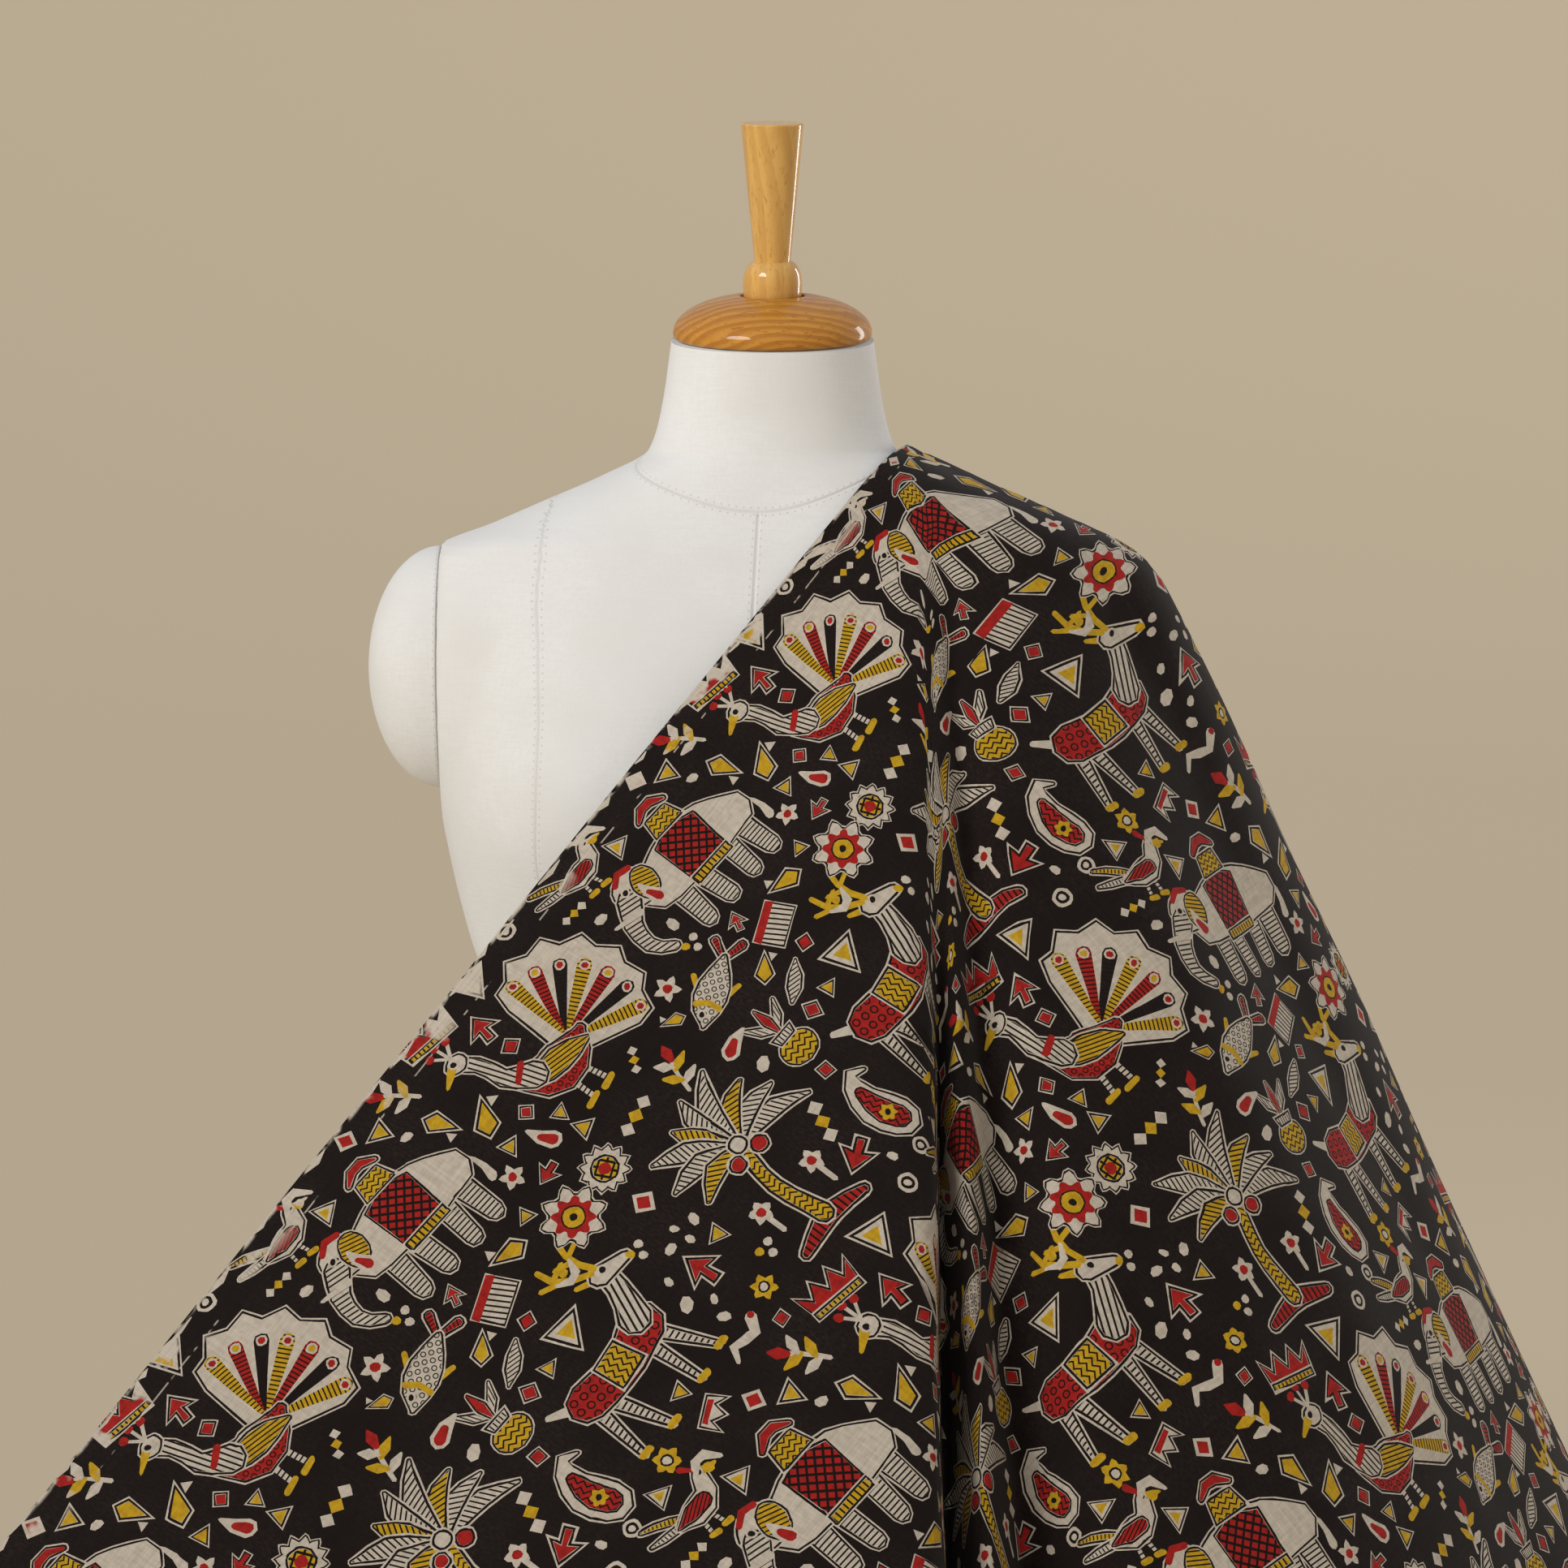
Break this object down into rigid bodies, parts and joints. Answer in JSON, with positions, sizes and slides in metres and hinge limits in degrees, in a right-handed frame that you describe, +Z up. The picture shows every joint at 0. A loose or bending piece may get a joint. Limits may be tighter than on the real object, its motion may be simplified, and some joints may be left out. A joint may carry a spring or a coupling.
{
  "type": "block-printed kalamkari cotton cloth draped on a table-top dress form",
  "caption": "Printed cotton cloth spread like a tent over one shoulder of a linen-covered dress form with a turned wooden neck cap.",
  "frame": {"origin": "centre of the base plate's underside, on the surface that the form stands on", "axes": "+Z up along the form's axis, -Y out of the form's chest, +X towards the shoulder that carries the cloth"},
  "size_m": [1.1478, 1.0066, 0.9191],
  "materials": {
    "printed_cotton": "matte plain weave, printed in cream, madder red and mustard",
    "cream_linen": "matte linen cover, hand-stitched seams",
    "varnished_wood": "clear varnish over turned wood",
    "dark_wood": "satin stain",
    "satin_steel": "satin"
  },
  "bodies": {
    "root": {"cloth": "printed_cotton", "torso": "cream_linen", "arm_cap_left": "cream_linen", "arm_cap_right": "cream_linen", "neck_cap": "varnished_wood", "finial": "varnished_wood", "stand_pole": "satin_steel", "base_plate": "dark_wood"}
  },
  "joints": []
}
